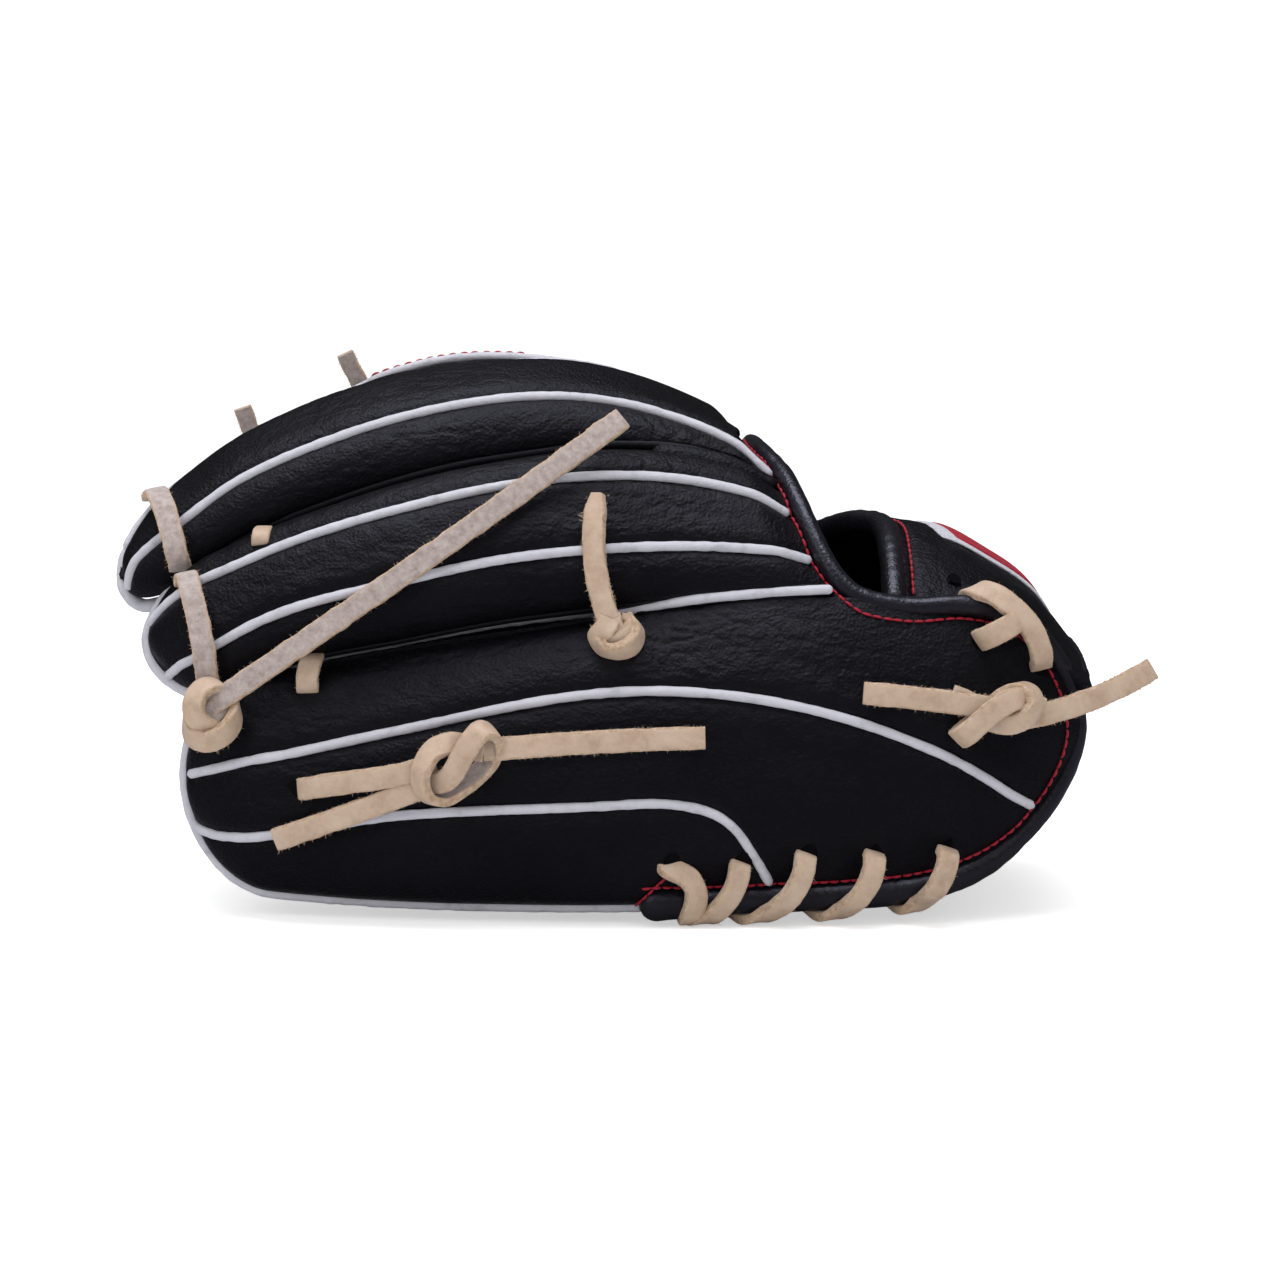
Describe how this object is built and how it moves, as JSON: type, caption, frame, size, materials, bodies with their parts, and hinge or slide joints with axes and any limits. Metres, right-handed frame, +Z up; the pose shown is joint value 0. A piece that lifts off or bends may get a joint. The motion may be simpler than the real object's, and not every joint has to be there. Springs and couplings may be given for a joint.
{
  "type": "baseball fielder's glove",
  "caption": "Leather ball glove with separate finger stalls, a laced web, a wrist strap and a folding pocket, resting palm down.",
  "frame": {"origin": "on the ground under the middle of the glove", "axes": "+Z up, +X towards the wrist, -X towards the fingertips, -Y towards the little-finger side, +Y towards the thumb side"},
  "size_m": [0.312, 0.1596, 0.1676],
  "materials": {
    "shell_leather": "fine grain, semi-matt",
    "palm_leather": "smooth, oiled",
    "binding_leather": "soft sheen",
    "white_welt": "matt",
    "rawhide_lace": "grain one side, suede the other",
    "felt": "pressed felt",
    "embroidery": "satin thread"
  },
  "bodies": {
    "finger_side": {"crotch_knot": "rawhide_lace", "crotch_tail": "rawhide_lace", "gap_laces": "rawhide_lace", "heel_lace_pinky": "rawhide_lace", "heel_pad_pinky": "felt", "heel_wall_panel": "shell_leather", "index_back_panel": "shell_leather", "index_lower_panel": "shell_leather", "index_outer_panel": "shell_leather", "index_rim": "white_welt", "index_welts": "white_welt", "long_tail": "rawhide_lace", "middle_back_panel": "shell_leather", "middle_lower_panel": "shell_leather", "middle_rim": "white_welt", "middle_upper_panel": "shell_leather", "middle_welts": "white_welt", "opening_binding": "binding_leather", "palm_centre": "palm_leather", "palm_index": "palm_leather", "palm_middle": "palm_leather", "palm_pinky": "palm_leather", "palm_ring": "palm_leather", "pinky_back_panel": "shell_leather", "pinky_inner_panel": "shell_leather", "pinky_knot": "rawhide_lace", "pinky_outer_panel": "shell_leather", "pinky_rim": "white_welt", "pinky_strand": "rawhide_lace", "pinky_tail_long": "rawhide_lace", "pinky_tail_short": "rawhide_lace", "pinky_welts": "white_welt", "ring_back_panel": "shell_leather", "ring_lower_panel": "shell_leather", "ring_rim": "white_welt", "ring_upper_panel": "shell_leather", "ring_welts": "white_welt", "strap_binding": "binding_leather", "strap_emblem": "embroidery", "tip_knot": "rawhide_lace", "tip_lace": "rawhide_lace", "web_lace_tabs": "rawhide_lace", "wrist_knot": "rawhide_lace", "wrist_strand": "rawhide_lace", "wrist_strap": "shell_leather", "wrist_tail_back": "rawhide_lace", "wrist_tail_front": "rawhide_lace"},
    "thumb_side": {"heel_lace_thumb": "rawhide_lace", "heel_pad_thumb": "felt", "palm_thumb": "palm_leather", "thumb_back_panel": "shell_leather", "thumb_binding": "binding_leather", "thumb_inner_panel": "shell_leather", "thumb_outer_panel": "shell_leather", "thumb_rim": "white_welt", "thumb_root_panel": "shell_leather", "thumb_welts": "white_welt", "web_base_bar": "shell_leather", "web_post": "shell_leather", "web_top_bar": "shell_leather"}
  },
  "joints": [
    {"name": "pocket_fold", "type": "hinge", "parent": "finger_side", "child": "thumb_side", "pos_m": [0, 0.06, 0.13], "axis": [-0.9806, 0, 0.1961], "range_deg": [-10, 16], "stiffness_Nm_per_rad": 9}
  ]
}
